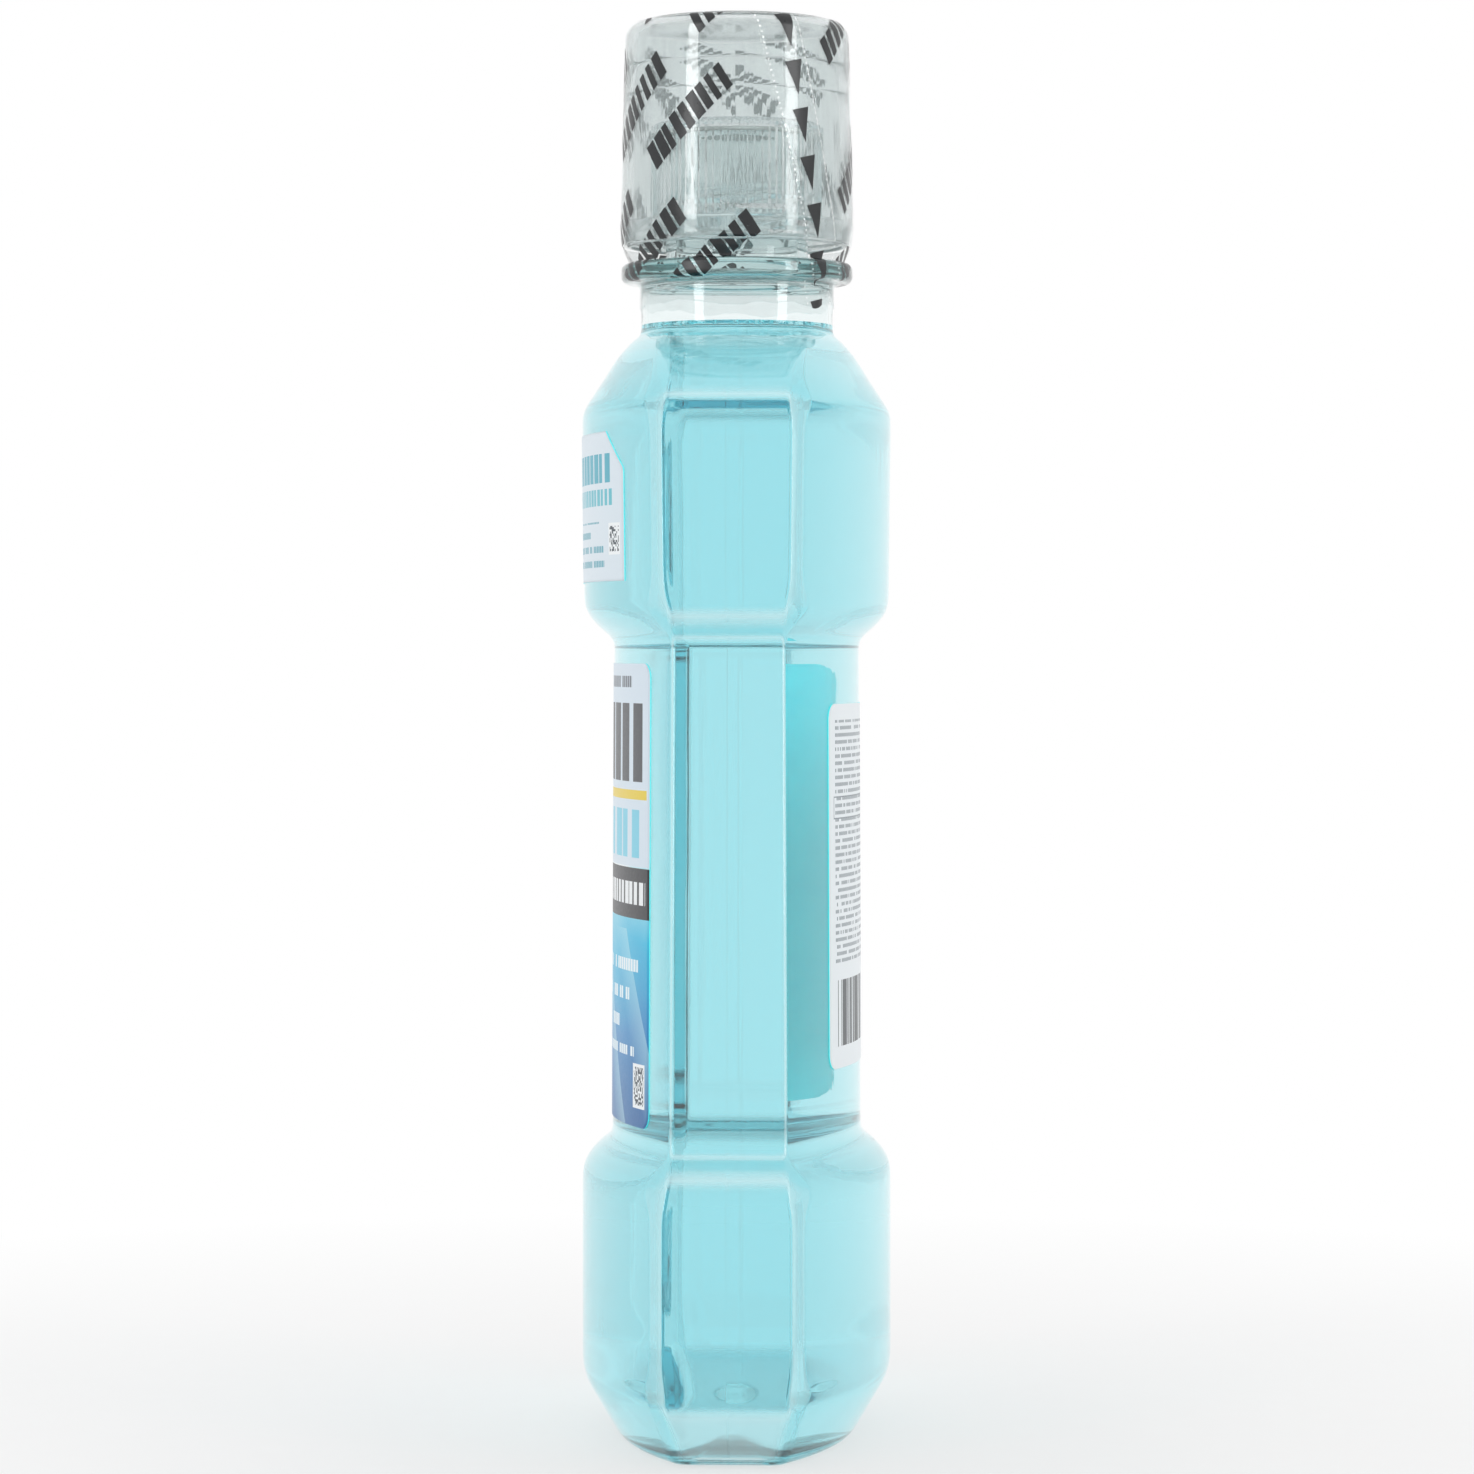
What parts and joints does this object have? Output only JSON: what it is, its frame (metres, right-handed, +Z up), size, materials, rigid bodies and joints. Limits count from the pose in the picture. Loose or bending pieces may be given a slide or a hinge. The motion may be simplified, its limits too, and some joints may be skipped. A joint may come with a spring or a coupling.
{
  "type": "mouthwash bottle",
  "caption": "Clear mouthwash bottle with a narrow grip waist, blue-green liquid, curved labels and a screw-on clear dosing cup under printed shrink film with a tear strip.",
  "frame": {"origin": "middle of the base, on the surface that the bottle stands on", "axes": "+Z up along the bottle's height, X along its width, -Y towards its front label"},
  "size_m": [0.09, 0.0504, 0.2298],
  "materials": {
    "clear_bottle": "clear blown plastic",
    "blue_green_liquid": "clear blue-green liquid",
    "clear_cap": "clear moulded plastic, faintly grey-green",
    "clear_closure": "clear moulded plastic with fine ribs",
    "white_foam": "white foam disc",
    "clear_film": "thin clear shrink film with black printed marks",
    "strip_film": "thin clear film with black printed triangles",
    "front_print": "printed label, pale at the top, fading from cyan to deep blue",
    "back_print": "white printed label with grey lines",
    "shoulder_print": "pale printed label with blue-green marks"
  },
  "bodies": {
    "bottle": {"bottle_body": "clear_bottle", "mouthwash": "blue_green_liquid", "film_skirt": "clear_film", "front_label": "front_print", "back_label": "back_print", "shoulder_label": "shoulder_print"},
    "liner": {"seal_liner": "white_foam"},
    "cap": {"dosing_cup": "clear_cap", "inner_closure": "clear_closure"},
    "sleeve": {"film_sleeve": "clear_film"},
    "strip": {"tear_strip": "strip_film"}
  },
  "joints": [
    {"name": "cap_lift", "type": "slide", "parent": "bottle", "child": "liner", "axis": [0, 0, 1], "range_m": [0, 0.006]},
    {"name": "cap_turn", "type": "hinge", "parent": "liner", "child": "cap", "pos_m": [0, 0, 0.2], "axis": [0, 0, 1], "range_deg": [0, 540]},
    {"name": "sleeve_lift", "type": "slide", "parent": "cap", "child": "sleeve", "axis": [0, 0, 1], "range_m": [0, 0.045]},
    {"name": "strip_peel", "type": "hinge", "parent": "sleeve", "child": "strip", "pos_m": [0.01277, 0.01421, 0.194], "axis": [-0.7437, 0.6685, 0], "range_deg": [0, 110]}
  ],
  "couplings": [
    {"joint": "cap_lift", "follows": "cap_turn", "m_per_rad": 0.0006366}
  ]
}
